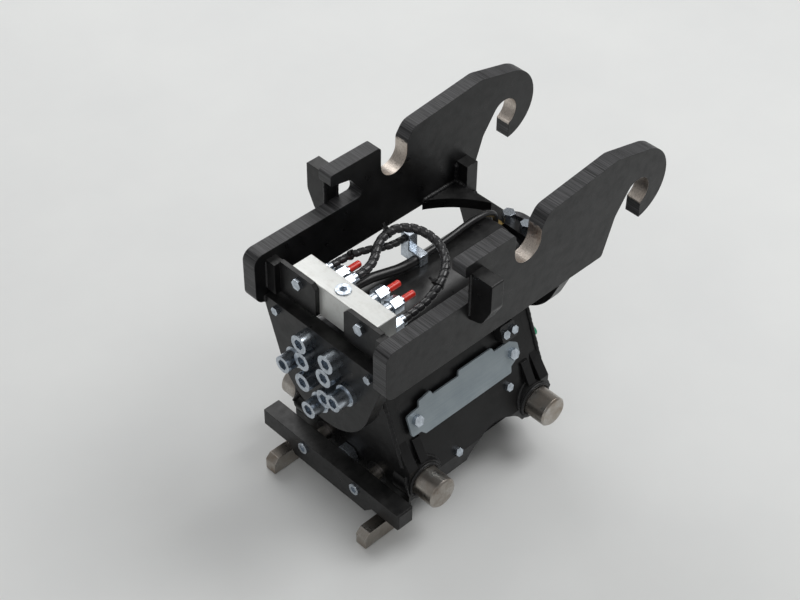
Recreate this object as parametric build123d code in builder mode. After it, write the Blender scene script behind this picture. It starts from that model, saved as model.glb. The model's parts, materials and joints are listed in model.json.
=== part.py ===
from build123d import *
import math
import os

os.makedirs("parts", exist_ok=True)

# Frame: X runs along the tilt axis towards the hooks, Y across, Z up from the ground; millimetres.

# Interface pins
pin_d = 40.0
pin_spacing = 190.0
pin_tip_y = 132.0
pin_z = 68.0
pin_mid_x = -48.5
front_pin_x = pin_mid_x - pin_spacing / 2
rear_pin_x = pin_mid_x + pin_spacing / 2
pin_chamfer = 2.0
pin_root_d = 44.0
pin_shoulder_y = 100.5
pin_undercut = 0.6
pin_undercut_w = 1.5

# Side plates of the tilting head
plate_t = 20.0
plate_gap = 192.0
inner_y = plate_gap / 2
outer_y = inner_y + plate_t
plate_front_reach = 173.0
plate_rear_reach = 176.0
plate_front_x = pin_mid_x - plate_front_reach
plate_rear_x = pin_mid_x + plate_rear_reach
band_bottom_z = 262.0
band_top_z = 332.0
notch_reach = 42.0
notch_x = pin_mid_x + notch_reach
notch_z = 358.0
seat_r = 21.0
seat_tilt = 9.3
finger_top_z = 386.0
finger_length = 78.0
nose_x = notch_x - seat_r - finger_length
slot_depth = 47.0
slot_end_x = nose_x + slot_depth
slot_h = 39.0
slot_slant = 17.0
shoulder_z = 399.0
shoulder_reach = 144.0
shoulder_x = notch_x + shoulder_reach
hook_r = 50.0
hook_tip_angle = -64.0
mouth_end_angle = 145.0
neck_length = 33.0
guard_t = 18.0
guard_w = 31.0
guard_h = 62.0
guard_front_x = nose_x + 9.0
guard_top_z = 373.0

# Rotary actuator
axis_z = 215.0
housing_r = 58.0
housing_bore_r = 45.0
housing_reach = 126.0
housing_front_x = pin_mid_x - housing_reach
housing_length = 250.0
housing_rear_x = housing_front_x + housing_length
gland_t = 22.0
shaft_core_r = 24.0
front_journal_r = 36.0
rear_journal_r = 28.0
shaft_flange_r = 57.0
shaft_flange_t = 14.0
piston_length = 70.0
ring_gap = 0.05
weld_gap = 0.1

# End plates of the head
end_plate_t = 18.0
end_plate_r = 76.0
end_plate_top_z = 272.0
end_plate_shoulder_z = 259.0
flange_gap = 2.0
front_plate_x = housing_front_x - flange_gap - shaft_flange_t - end_plate_t
rear_plate_x = housing_rear_x + 24.0
rear_plate_top_z = 250.0
rear_collar_r = 40.0
rear_collar_t = 10.0
collar_hole_d = 8.0
collar_hole_count = 6
collar_hole_share = 0.6
ear_w = 18.0
ear_top_z = 298.0
rear_gusset_t = 14.0
rear_gusset_x = 58.0
rear_gusset_y = 60.0
rear_gusset_z = 254.0
rear_gusset_hollow = 0.42

# Screws of the front end plate
bolt_d = 16.0
bolt_head_d = 24.0
bolt_head_h = 16.0
bolt_grip = end_plate_t + 11.0
inner_bolt_y = 18.0
inner_bolt_z = 16.5
top_bolt_y = 22.0
top_bolt_z = 40.5
outer_bolt_r = 42.0
collar_d = 28.0
collar_t = 6.0
collar_head_d = 22.0
collar_head_h = 18.0
socket_af = 12.0
socket_depth = 8.0
hole_gap = 0.1

# Valve block and its two brackets
block_w = 138.0
block_depth = 30.0
block_h = 43.0
block_top_z = 322.0
block_front_x = front_plate_x + end_plate_t
bracket_t = 6.0
bracket_in_y = 23.0
bracket_bottom_z = 279.0
bracket_top_z = 324.0
bracket_chamfer = 6.0
tab_depth = 14.0
tab_w = 14.0
bracket_screw_y = 50.0
bracket_screw_z = 312.0
bracket_screw_d = 8.0
bracket_head_d = 13.0
bracket_head_h = 5.0
plug_d = 19.0
plug_h = 1.5
plug_hex = 8.0
plug_depth = 10.0
plug_hex_depth = 6.0
bracket_screw_depth = 10.0
valve_places = [(38.0, 300.5, 8.0), (-18.0, 302.5, 16.0), (-41.0, 302.5, 16.0)]
valve_base_d = 15.0
valve_hex_af = 18.0
valve_hex_l = 14.0
valve_neck_d = 10.0
valve_neck_l = 5.0
valve_cap_d = 8.5
valve_cap_l = 18.0
valve_cap_chamfer = 1.2

# Hoses over the actuator, as (y, z) places of their ports on the valve block
fitting_l = 18.0
ferrule_l = 6.0
loop_d = 11.0
loop_middle = (16.0, 310.0)
loop_right = (-61.0, 298.0)
branch_d = 9.0
branch_place = (57.0, 300.0)
branch_end = (32.0, 303.0)
feed_d = 12.0
feed_place = (24.0, 287.0)
feed_end = (14.0, 281.0)
feed_length = 92.0
manifold_l = 14.0
manifold_w = 32.0
manifold_h = 15.0
manifold_post_w = 14.0
manifold_post_z = 310.0
tube_d = 8.0
tube_end_y = 20.0
elbow_w = 13.0
elbow_h = 9.5
elbow_reach = 18.0

# Lower frame
wall_slope = 0.384
wall_foot_y = 100.0
wall_t = 15.0
wall_top_z = 190.0
wall_bottom_z = 46.0
cross_t = 14.0
front_wall_x = front_pin_x - 24.0
rear_wall_x = rear_pin_x + 9.0
boss_d = 54.0
boss_face_y = 100.0
boss_root_y = 74.0
belly_half_w = 55.0
belly_t = 10.0
keel_t = 10.0
keel_top_z = 44.0
wall_foot_z = 30.0
arch_x = -22.0
arch_z = 18.0
arch_r = 56.0
wing_z = 125.0
rib_t = 12.0
rib_top_z = 122.0
rib_reach_y = 98.0
lug_w = 16.0
lug_in_y = 73.0
lug_bottom_z = 1.0
lug_h = 23.0
lug_length = 60.0
lug_bevel = 7.0

# Locking beam, its cylinder and its guides
beam_half_w = 119.0
beam_depth = 24.0
beam_h = 24.0
beam_top_z = 64.0
beam_belly_h = 12.0
beam_belly_w = 62.0
beam_gap = 12.0
beam_back_x = front_wall_x - beam_gap
beam_front_x = beam_back_x - beam_depth
rod_y = 45.0
rod_z = 53.0
rod_d = 18.0
guide_d = 32.0
guide_length = 70.0
lock_rod_d = 22.0
lock_barrel_d = 44.0
lock_barrel_length = 118.0
barrel_cap_t = 12.0
rod_gap = 0.1
beam_screw_d = 12.0
beam_screw_head_d = 15.0
beam_screw_head_h = 2.5
nut_af = 27.0
nut_t = 11.0
beam_screw_hex = 8.0
lock_rod_length = 65.0

# Side covers and small parts of the lower frame
cover_t = 3.0
cover_standoff = 4.0
cover_length = 184.0
cover_h = 34.0
cover_tab_h = 6.0
cover_mid_x = pin_mid_x - 7.0
cover_mid_z = 143.0
cover_screw_inset = 12.0
cover_pad_d = 20.0
cover_pad_root = 6.0
cover_screw_d = 8.0
cover_head_af = 13.0
cover_head_h = 5.5
side_shank_d = 6.0
side_shank_l = 8.0
side_head_af = 10.0
side_head_h = 4.5
side_screw_places = [(pin_mid_x - 38.0, 72.0), (pin_mid_x + 60.0, 104.0)]
clamp_length = 24.0
clamp_w = 12.0
clamp_h = 22.0
clamp_x = pin_mid_x + 72.0
clamp_z = 173.0
clamp_bolt_pitch = 14.0
clamp_bolt_d = 6.0
clamp_bolt_af = 10.0
clamp_bolt_h = 4.5
clamp_floor = 2.0
port_y = -50.0
port_z = 120.0
port_d = 20.0
port_l = 10.0
port_cap_d = 14.0
port_cap_l = 14.0
rear_bolt_ys = [-14.0, 15.0]
rear_bolt_af = 14.0
rear_bolt_h = 12.0
corner_screw_inset = 20.0
corner_screw_z = 262.0
corner_screw_af = 10.0
corner_screw_h = 4.5


def across(x):
    """A plane square to the tilt axis, with Y to the right and Z up."""
    return Plane(origin=(x, 0, 0), x_dir=(0, 1, 0), z_dir=(1, 0, 0))


def along(y):
    """An upright plane along the tilt axis, with X to the right and Z up, facing -Y."""
    return Plane(origin=(0, y, 0), x_dir=(1, 0, 0), z_dir=(0, -1, 0))


def finish(piece, name):
    """Labels a finished piece and writes its file."""
    piece.part.label = name
    export_step(piece.part, "parts/" + name + ".step")


def wall_y(z):
    """Half width of the lower frame's slanted outside at a height."""
    return wall_foot_y - wall_slope * max(z - pin_z, 0)


def slanted(side, x, z):
    """A plane on the slanted outside at x and height z, facing out; side is 1 or -1."""
    return Plane(origin=(x, side * wall_y(z), z), x_dir=(1, 0, 0), z_dir=(0, side, wall_slope))


def turned(steps, places, bore=0.0, bore_end=None):
    """A turned piece along X at each (y, z) place, from (start, end, radius) steps, with a bore."""
    first = steps[0][0]
    last = steps[-1][1] if bore_end is None else bore_end
    with BuildPart() as piece:
        for start, end, radius in steps:
            with BuildSketch(across(start)):
                with Locations(*places):
                    Circle(radius)
            extrude(amount=end - start)
        if bore:
            with BuildSketch(across(first)):
                with Locations(*places):
                    Circle(bore)
            extrude(amount=last - first, mode=Mode.SUBTRACT)
    return piece


# Side plates: band, slot with its finger, open seat and hook

hook_x = notch_x + pin_spacing * math.cos(math.radians(seat_tilt))
hook_z = notch_z - pin_spacing * math.sin(math.radians(seat_tilt))


def around_hook(angle):
    """A point on the hook's seat circle."""
    turn = math.radians(angle)
    return (hook_x + seat_r * math.cos(turn), hook_z + seat_r * math.sin(turn))


def side_plate(left):
    """One flame-cut side plate; the left one stands at +Y."""
    face_y = outer_y if left else -inner_y
    shoulder = (shoulder_x, shoulder_z)
    crown = (hook_x + 14.0, hook_z + 57.0)
    run = math.hypot(crown[0] - shoulder[0], crown[1] - shoulder[1])
    slope = ((crown[0] - shoulder[0]) / run, (crown[1] - shoulder[1]) / run)
    centre = (crown[0] + slope[1] * hook_r, crown[1] - slope[0] * hook_r)
    tip_in = around_hook(hook_tip_angle)
    tip_drop = math.sqrt(hook_r**2 - (tip_in[0] - centre[0]) ** 2)
    tip_out = (tip_in[0], centre[1] - tip_drop)
    mouth_end = around_hook(mouth_end_angle)
    turn = math.radians(mouth_end_angle + 90)
    neck = (mouth_end[0] + neck_length * math.cos(turn), mouth_end[1] + neck_length * math.sin(turn))
    notch_left = (notch_x - seat_r, notch_z)
    notch_right = (notch_x + seat_r, notch_z)
    with BuildPart() as plate:
        with BuildSketch(along(face_y)):
            with BuildLine():
                ThreePointArc(notch_left, (notch_x, notch_z - seat_r), notch_right)
                FilletPolyline(
                    notch_right,
                    (notch_right[0], notch_z + 13),
                    (notch_right[0] + 11, notch_z + 29),
                    shoulder,
                    crown,
                    radius=[10, 16, 24],
                )
                ThreePointArc(crown, (centre[0] + hook_r, centre[1]), tip_out)
                Line(tip_out, tip_in)
                ThreePointArc(tip_in, around_hook(40), mouth_end)
                FilletPolyline(
                    mouth_end,
                    neck,
                    (plate_rear_x, band_bottom_z),
                    (plate_front_x, band_bottom_z),
                    (plate_front_x, band_top_z),
                    (slot_end_x, band_top_z),
                    (slot_end_x, band_top_z + 10),
                    (slot_end_x - slot_slant, band_top_z + slot_h - 6),
                    (nose_x, band_top_z + slot_h),
                    (nose_x, finger_top_z),
                    (notch_left[0], finger_top_z),
                    notch_left,
                    radius=[20, 5, 14, 13, 6, 3, 9, 2, 3, 5],
                )
            make_face()
        extrude(amount=plate_t)
    return plate


side_plate_left = side_plate(True)
finish(side_plate_left, "side_plate_left")

side_plate_right = side_plate(False)
finish(side_plate_right, "side_plate_right")

with BuildPart() as slot_guards:
    with BuildSketch(across(guard_front_x)):
        with BuildLine():
            FilletPolyline(
                (outer_y, guard_top_z - guard_h - 5),
                (outer_y + guard_w * 0.6, guard_top_z - guard_h),
                (outer_y + guard_w, guard_top_z - guard_h * 0.6),
                (outer_y + guard_w, guard_top_z),
                (outer_y, guard_top_z),
                radius=[12, 14, 2],
            )
            Line((outer_y, guard_top_z), (outer_y, guard_top_z - guard_h - 5))
        make_face()
    extrude(amount=guard_t)
    mirror(about=Plane.XZ)
finish(slot_guards, "slot_guards")

# End plates: a shoulder between the side plates and a round tongue about the tilt axis


def tongue_points(top_z):
    """The corners of an end plate, down to where its edges touch the tongue's circle."""
    shoulder = min(end_plate_shoulder_z, top_z - 1)
    rise = shoulder - axis_z
    reach = math.hypot(inner_y, rise)
    turn = math.atan2(rise, inner_y) - math.acos(end_plate_r / reach)
    touch_y = end_plate_r * math.cos(turn)
    touch_z = axis_z + end_plate_r * math.sin(turn)
    half = [(inner_y, top_z), (inner_y, shoulder), (touch_y, touch_z)]
    return half + [(-y, z) for y, z in reversed(half)]


plain_bolts = [(y, z) for y in (-inner_bolt_y, inner_bolt_y) for z in (-inner_bolt_z, inner_bolt_z)]
plain_bolts += [(-top_bolt_y, top_bolt_z), (top_bolt_y, top_bolt_z)]
collar_bolts = [(-outer_bolt_r, 0), (outer_bolt_r, 0), (0, -outer_bolt_r)]
all_bolts = [(y, axis_z + z) for y, z in plain_bolts + collar_bolts]

with BuildPart() as front_end_plate:
    with BuildSketch(across(front_plate_x)):
        Polygon(*tongue_points(end_plate_top_z), align=None)
        with Locations((0, axis_z)):
            Circle(end_plate_r)
        with Locations((0, end_plate_top_z + end_plate_r / 2)):
            Rectangle(2 * inner_y, end_plate_r, mode=Mode.SUBTRACT)
        with Locations(*all_bolts):
            Circle(bolt_d / 2 + hole_gap, mode=Mode.SUBTRACT)
    extrude(amount=end_plate_t)
finish(front_end_plate, "front_end_plate")

with BuildPart() as rear_end_plate:
    with BuildSketch(across(rear_plate_x)):
        Polygon(*tongue_points(rear_plate_top_z), align=None)
        with Locations((0, axis_z)):
            Circle(end_plate_r)
        with Locations((0, rear_plate_top_z + end_plate_r / 2)):
            Rectangle(2 * inner_y, end_plate_r, mode=Mode.SUBTRACT)
        for side in (-1, 1):
            with Locations((side * (inner_y - ear_w / 2), (ear_top_z + rear_plate_top_z) / 2 - 2)):
                Rectangle(ear_w, ear_top_z - rear_plate_top_z + 4)
        with Locations((0, axis_z)):
            Circle(rear_journal_r + hole_gap, mode=Mode.SUBTRACT)
    extrude(amount=end_plate_t)
finish(rear_end_plate, "rear_end_plate")

with BuildPart() as rear_gussets:
    with BuildSketch(Plane.XY.offset(rear_gusset_z)):
        with BuildLine():
            corner = (rear_plate_x, inner_y)
            Line((rear_plate_x - rear_gusset_x, inner_y), corner)
            Line(corner, (rear_plate_x, inner_y - rear_gusset_y))
            ThreePointArc(
                (rear_plate_x, inner_y - rear_gusset_y),
                (rear_plate_x - rear_gusset_hollow * rear_gusset_x, inner_y - rear_gusset_hollow * rear_gusset_y),
                (rear_plate_x - rear_gusset_x, inner_y),
            )
        make_face()
    extrude(amount=rear_gusset_t)
    mirror(about=Plane.XZ)
finish(rear_gussets, "rear_gussets")

# Rotary actuator: the housing belongs to the lower frame, the shaft to the head

with BuildPart() as actuator_housing:
    with BuildSketch(along(0)):
        with BuildLine():
            Polyline(
                (housing_front_x, axis_z + housing_bore_r),
                (housing_front_x, axis_z + housing_r - 2),
                (housing_front_x + 2, axis_z + housing_r),
                (housing_rear_x - 2, axis_z + housing_r),
                (housing_rear_x, axis_z + housing_r - 2),
                (housing_rear_x, axis_z + housing_bore_r),
                close=True,
            )
        make_face()
    revolve(axis=Axis((0, 0, axis_z), (1, 0, 0)))
finish(actuator_housing, "actuator_housing")

tilt_axis = [(0, axis_z)]
front_gland = turned(
    [(housing_front_x, housing_front_x + gland_t, housing_bore_r)],
    tilt_axis,
    bore=front_journal_r + ring_gap,
)
finish(front_gland, "front_gland")

rear_gland = turned(
    [(housing_rear_x - gland_t, housing_rear_x, housing_bore_r)],
    tilt_axis,
    bore=rear_journal_r + ring_gap,
)
finish(rear_gland, "rear_gland")

flange_x = front_plate_x + end_plate_t
journal_end_x = housing_front_x + gland_t + 4
rear_journal_x = housing_rear_x - gland_t - 4
collar_x = rear_plate_x + end_plate_t
with BuildPart() as actuator_shaft:
    for start, end, radius in (
        (flange_x, flange_x + shaft_flange_t, shaft_flange_r),
        (flange_x + shaft_flange_t, journal_end_x, front_journal_r),
        (journal_end_x, rear_journal_x, shaft_core_r),
        (rear_journal_x, collar_x, rear_journal_r),
    ):
        with BuildSketch(across(start)):
            with Locations((0, axis_z)):
                Circle(radius)
        extrude(amount=end - start)
    with BuildSketch(across(flange_x)):
        with Locations(*all_bolts):
            Circle(bolt_d / 2 + hole_gap)
    extrude(amount=bolt_grip - end_plate_t + 1, mode=Mode.SUBTRACT)
finish(actuator_shaft, "actuator_shaft")

with BuildPart() as shaft_collar:
    with BuildSketch(across(collar_x)):
        with Locations((0, axis_z)):
            Circle(rear_collar_r)
    extrude(amount=rear_collar_t)
    chamfer(shaft_collar.faces().sort_by(Axis.X)[-1].edges(), 1.5)
    with BuildSketch(across(collar_x)):
        with Locations((0, axis_z)):
            with PolarLocations(rear_collar_r * collar_hole_share, collar_hole_count):
                Circle(collar_hole_d / 2)
    extrude(amount=rear_collar_t, mode=Mode.SUBTRACT)
finish(shaft_collar, "shaft_collar")

piston_x = (journal_end_x + rear_journal_x - piston_length) / 2
piston_sleeve = turned(
    [(piston_x, piston_x + piston_length, housing_bore_r - ring_gap)],
    tilt_axis,
    bore=shaft_core_r + ring_gap,
)
finish(piston_sleeve, "piston_sleeve")

# Socket screws on the front end plate

with BuildPart() as end_bolts:
    plain_places = [(y, axis_z + z) for y, z in plain_bolts]
    with BuildSketch(across(front_plate_x - bolt_head_h)):
        with Locations(*plain_places):
            Circle(bolt_head_d / 2)
    extrude(amount=bolt_head_h)
    with BuildSketch(across(front_plate_x)):
        with Locations(*plain_places):
            Circle(bolt_d / 2)
    extrude(amount=bolt_grip)
    with BuildSketch(across(front_plate_x - bolt_head_h)):
        with Locations(*plain_places):
            RegularPolygon(socket_af / 2, 6, major_radius=False)
    extrude(amount=socket_depth, mode=Mode.SUBTRACT)
finish(end_bolts, "end_bolts")

with BuildPart() as collar_screws:
    collar_places = [(y, axis_z + z) for y, z in collar_bolts]
    head_x = front_plate_x - collar_t - collar_head_h
    for start, end, radius in (
        (head_x, front_plate_x - collar_t, collar_head_d / 2),
        (front_plate_x - collar_t, front_plate_x, collar_d / 2),
        (front_plate_x, front_plate_x + bolt_grip, bolt_d / 2),
    ):
        with BuildSketch(across(start)):
            with Locations(*collar_places):
                Circle(radius)
        extrude(amount=end - start)
    with BuildSketch(across(head_x)):
        with Locations(*collar_places):
            RegularPolygon(socket_af / 2, 6, major_radius=False)
    extrude(amount=socket_depth, mode=Mode.SUBTRACT)
finish(collar_screws, "collar_screws")

# Valve block, brackets, plug and valves

block_back_x = block_front_x + block_depth
with BuildPart() as valve_block:
    with BuildSketch(across(block_front_x)):
        with Locations((0, block_top_z - block_h / 2)):
            Rectangle(block_w, block_h)
    extrude(amount=block_depth)
    chamfer(valve_block.edges(), 0.8)
    with BuildSketch(Plane.XY.offset(block_top_z)):
        with Locations(((block_front_x + block_back_x) / 2, 0)):
            Circle(plug_d / 2)
    extrude(amount=-plug_depth, mode=Mode.SUBTRACT)
    with BuildSketch(across(block_front_x)):
        with Locations((-bracket_screw_y, bracket_screw_z), (bracket_screw_y, bracket_screw_z)):
            Circle(bracket_screw_d / 2 + hole_gap)
    extrude(amount=bracket_screw_depth + 2, mode=Mode.SUBTRACT)
finish(valve_block, "valve_block")

with BuildPart() as block_plug:
    with BuildSketch(Plane.XY.offset(block_top_z - plug_depth)):
        with Locations(((block_front_x + block_back_x) / 2, 0)):
            Circle(plug_d / 2 - hole_gap)
    extrude(amount=plug_depth + plug_h)
    with BuildSketch(Plane.XY.offset(block_top_z + plug_h)):
        with Locations(((block_front_x + block_back_x) / 2, 0)):
            RegularPolygon(plug_hex / 2, 6, major_radius=False)
    extrude(amount=-plug_hex_depth, mode=Mode.SUBTRACT)
finish(block_plug, "block_plug")


def bracket(side):
    """The bracket that holds one end of the valve block to a side plate; side is 1 or -1."""
    plate_end_y = inner_y - tab_w
    with BuildPart() as piece:
        with BuildSketch(across(block_front_x - bracket_t)):
            with BuildLine():
                Polyline(
                    (side * bracket_in_y, bracket_bottom_z),
                    (side * bracket_in_y, bracket_top_z - bracket_chamfer),
                    (side * (bracket_in_y + bracket_chamfer), bracket_top_z),
                    (side * plate_end_y, bracket_top_z),
                    (side * plate_end_y, bracket_bottom_z),
                    close=True,
                )
            make_face()
            with Locations((side * bracket_screw_y, bracket_screw_z)):
                Circle(bracket_screw_d / 2 + hole_gap, mode=Mode.SUBTRACT)
        extrude(amount=bracket_t)
        with BuildSketch(across(block_front_x - tab_depth)):
            tab_mid_z = (bracket_bottom_z + block_top_z) / 2
            with Locations((side * (inner_y - tab_w / 2), tab_mid_z)):
                Rectangle(tab_w, block_top_z - bracket_bottom_z)
        extrude(amount=tab_depth)
    return piece


bracket_left = bracket(1)
finish(bracket_left, "bracket_left")

bracket_right = bracket(-1)
finish(bracket_right, "bracket_right")

with BuildPart() as bracket_screws:
    bracket_places = [(-bracket_screw_y, bracket_screw_z), (bracket_screw_y, bracket_screw_z)]
    bracket_face_x = block_front_x - bracket_t
    with BuildSketch(across(bracket_face_x - bracket_head_h)):
        with Locations(*bracket_places):
            RegularPolygon(bracket_head_d / 2, 6, major_radius=False)
    extrude(amount=bracket_head_h)
    with BuildSketch(across(bracket_face_x)):
        with Locations(*bracket_places):
            Circle(bracket_screw_d / 2)
    extrude(amount=bracket_t + bracket_screw_depth)
finish(bracket_screws, "bracket_screws")

with BuildPart() as valve_bodies:
    for valve_y, valve_z, base_l in valve_places:
        with BuildSketch(across(block_back_x)):
            with Locations((valve_y, valve_z)):
                Circle(valve_base_d / 2)
        extrude(amount=base_l)
        with BuildSketch(across(block_back_x + base_l)):
            with Locations((valve_y, valve_z)):
                RegularPolygon(valve_hex_af / 2, 6, major_radius=False, rotation=30)
        extrude(amount=valve_hex_l)
        with BuildSketch(across(block_back_x + base_l + valve_hex_l)):
            with Locations((valve_y, valve_z)):
                Circle(valve_neck_d / 2)
        extrude(amount=valve_neck_l)
finish(valve_bodies, "valve_bodies")

with BuildPart() as valve_caps:
    for valve_y, valve_z, base_l in valve_places:
        with BuildSketch(across(block_back_x + base_l + valve_hex_l + valve_neck_l)):
            with Locations((valve_y, valve_z)):
                Circle(valve_cap_d / 2)
        extrude(amount=valve_cap_l)
        cap_tip = valve_caps.faces(Select.LAST).sort_by(Axis.X)[-1]
        chamfer(cap_tip.edges(), valve_cap_chamfer)
finish(valve_caps, "valve_caps")

# Hoses: straight runs joined by tangent arcs, from port to port of the head

fitting_end_x = block_back_x + fitting_l


def route(points, diameter):
    """A hose along points, with each arc as large as its two runs allow."""
    places = [Vector(*point) for point in points]
    radii = []
    for before, here, after in zip(places, places[1:], places[2:]):
        turn = (here - before).get_angle(after - here)
        run = min((here - before).length, (after - here).length)
        radii.append(0.45 * run / math.tan(math.radians(turn) / 2))
    with BuildPart() as hose:
        with BuildLine() as path:
            FilletPolyline(*points, radius=radii)
        with BuildSketch(Plane(origin=path.line @ 0, z_dir=path.line % 0)):
            Circle(diameter / 2)
        sweep()
    length = sum(edge.length for edge in path.line.edges())
    share = hose.part.volume / (math.pi * diameter**2 / 4 * length)
    print("hose length", round(length, 1), "least radius", round(min(radii), 1), "fill", round(share, 4))
    return hose


# The wrapped loop, as (reach beyond the fittings, y, z)
loop_points = [
    (0, *loop_middle),
    (18, *loop_middle),
    (36, 23, 311),
    (54, 37, 315),
    (76, 40, 320),
    (95, 28, 321),
    (104, 7, 319),
    (102, -18, 316),
    (88, -40, 313),
    (64, -55, 308),
    (32, *loop_right),
    (0, *loop_right),
]
loop_hose = route([(fitting_end_x + reach, y, z) for reach, y, z in loop_points], loop_d)
finish(loop_hose, "loop_hose")

# The branch hose passes under the loop to the post of the manifold
branch_points = [
    (0, *branch_place),
    (24, *branch_place),
    (48, 47, 303),
    (71, *branch_end),
    (feed_length, *branch_end),
]
branch_hose = route([(fitting_end_x + reach, y, z) for reach, y, z in branch_points], branch_d)
finish(branch_hose, "branch_hose")

# The thick hose and the slim tube that carries on from it to the rear end plate
feed_points = [
    (0, *feed_place),
    (23, *feed_place),
    (48, 20, 283),
    (72, *feed_end),
    (feed_length, *feed_end),
]
feed_hose = route([(fitting_end_x + reach, y, z) for reach, y, z in feed_points], feed_d)
finish(feed_hose, "feed_hose")

manifold_x = fitting_end_x + feed_length
manifold_foot_z = feed_end[1] - manifold_h / 2
with BuildPart() as feed_manifold:
    with BuildSketch(across(manifold_x)):
        with Locations(((feed_end[0] + branch_end[0]) / 2, feed_end[1])):
            Rectangle(manifold_w, manifold_h)
        with Locations((branch_end[0], (manifold_foot_z + manifold_post_z) / 2)):
            Rectangle(manifold_post_w, manifold_post_z - manifold_foot_z)
    extrude(amount=manifold_l)
    chamfer(feed_manifold.faces().filter_by(Axis.X).edges(), 0.8)
finish(feed_manifold, "feed_manifold")

tube_start_x = manifold_x + manifold_l
tube_end_x = rear_plate_x - elbow_reach / 2
feed_tube = route(
    [
        (tube_start_x, *feed_end),
        (tube_start_x + 20, *feed_end),
        (tube_start_x + 46, 16, 280),
        (tube_start_x + 72, 19, 279.5),
        (tube_start_x + 94, tube_end_y, 278.5),
        (tube_end_x - 13, tube_end_y, 275),
        (tube_end_x, tube_end_y, 265),
        (tube_end_x, tube_end_y, rear_plate_top_z),
    ],
    tube_d,
)
finish(feed_tube, "feed_tube")

with BuildPart() as feed_elbow:
    with BuildSketch(Plane.XY.offset(rear_plate_top_z)):
        with Locations((rear_plate_x - elbow_reach / 2, tube_end_y)):
            Rectangle(elbow_reach, elbow_w)
    extrude(amount=-elbow_h)
finish(feed_elbow, "feed_elbow")

hose_ports = [
    (*loop_middle, loop_d),
    (*loop_right, loop_d),
    (*branch_place, branch_d),
    (*feed_place, feed_d),
]
with BuildPart() as hose_fittings:
    for port_place_y, port_place_z, port_hose_d in hose_ports:
        with BuildSketch(across(block_back_x)):
            with Locations((port_place_y, port_place_z)):
                RegularPolygon(port_hose_d / 2 + 2, 6, major_radius=False, rotation=30)
        extrude(amount=fitting_l - ferrule_l)
        with BuildSketch(across(block_back_x + fitting_l - ferrule_l)):
            with Locations((port_place_y, port_place_z)):
                Circle(port_hose_d / 2 + 1)
        extrude(amount=ferrule_l)
finish(hose_fittings, "hose_fittings")

# Lower frame: slanted side walls with pin bosses, cross walls, belly and ribs

wall_front_x = front_wall_x
wall_rear_x = rear_wall_x + cross_t


def wall_section(side):
    """The corners of the slanted wall's section; side is 1 or -1."""
    outer = [(wall_y(z), z) for z in (wall_bottom_z, pin_z, wall_top_z)]
    inner = [(y - wall_t, z) for y, z in reversed(outer)]
    return [(side * y, z) for y, z in outer + inner]


def lower_side(side):
    """One slanted side wall with the arch in its foot and its two pin bosses."""
    with BuildPart() as wall:
        with BuildSketch(across(wall_front_x + cross_t)):
            Polygon(*wall_section(side), align=None)
        extrude(amount=rear_wall_x - wall_front_x - cross_t)
        with BuildSketch(along(side * (wall_foot_y + 1))):
            with Locations((arch_x, arch_z)):
                Circle(arch_r)
        extrude(amount=side * (wall_foot_y + 1 - boss_root_y), mode=Mode.SUBTRACT)
        with BuildSketch(along(side * boss_face_y)):
            with Locations((front_pin_x, pin_z), (rear_pin_x, pin_z)):
                Circle(boss_d / 2)
        extrude(amount=side * (boss_face_y - boss_root_y))
        with BuildSketch(along(side * pin_tip_y)):
            with Locations((front_pin_x, pin_z), (rear_pin_x, pin_z)):
                Circle(pin_root_d / 2 + hole_gap)
        extrude(amount=side * pin_tip_y, mode=Mode.SUBTRACT)
        for screw_x, screw_z in side_screw_places:
            with BuildSketch(slanted(side, screw_x, screw_z)):
                Circle(side_shank_d / 2 + hole_gap)
            extrude(amount=-side_shank_l, mode=Mode.SUBTRACT)
        with BuildSketch(across(housing_front_x)):
            with Locations((0, axis_z)):
                Circle(housing_r + weld_gap)
        extrude(amount=housing_length, mode=Mode.SUBTRACT)
        outward = slanted(side, cover_mid_x, cover_mid_z)
        with BuildSketch(outward.offset(-cover_pad_root)):
            half = cover_length / 2 - cover_screw_inset
            with Locations((-half, 0), (half, 0)):
                Circle(cover_pad_d / 2)
        extrude(amount=cover_pad_root + cover_standoff)
        with BuildSketch(outward.offset(cover_standoff)):
            with Locations((-half, 0), (half, 0)):
                Circle(cover_screw_d / 2 + hole_gap)
        extrude(amount=-cover_standoff - cover_pad_root, mode=Mode.SUBTRACT)
    return wall


lower_side_left = lower_side(1)
finish(lower_side_left, "lower_side_left")

lower_side_right = lower_side(-1)
finish(lower_side_right, "lower_side_right")


def cross_wall(start_x, foot_half_w, bores):
    """A cross wall with wings to the bosses and (y, radius) bores at the lock's height."""
    half = [
        (wall_y(wall_top_z), wall_top_z),
        (wall_y(wing_z), wing_z),
        (boss_face_y, pin_z + boss_d / 2),
        (boss_face_y, wall_bottom_z),
        (foot_half_w, wall_foot_z),
        (foot_half_w, belly_t),
    ]
    with BuildPart() as wall:
        with BuildSketch(across(start_x)):
            Polygon(*half, *[(-y, z) for y, z in reversed(half)], align=None)
            with Locations((0, axis_z)):
                Circle(housing_r + weld_gap, mode=Mode.SUBTRACT)
            for bore_y, bore_r in bores:
                with Locations((bore_y, rod_z)):
                    Circle(bore_r + hole_gap, mode=Mode.SUBTRACT)
        extrude(amount=cross_t)
        for side in (-1, 1):
            with BuildSketch(along(side * (boss_face_y + 1))):
                with Locations((front_pin_x, pin_z), (rear_pin_x, pin_z)):
                    Circle(boss_d / 2 + weld_gap)
            extrude(amount=side * (boss_face_y + 1 - boss_root_y + weld_gap), mode=Mode.SUBTRACT)
    return wall


lock_bores = [(-rod_y, guide_d / 2), (0, lock_barrel_d / 2), (rod_y, guide_d / 2)]
lower_front_wall = cross_wall(wall_front_x, lug_in_y + lug_w, lock_bores)
finish(lower_front_wall, "lower_front_wall")

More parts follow.
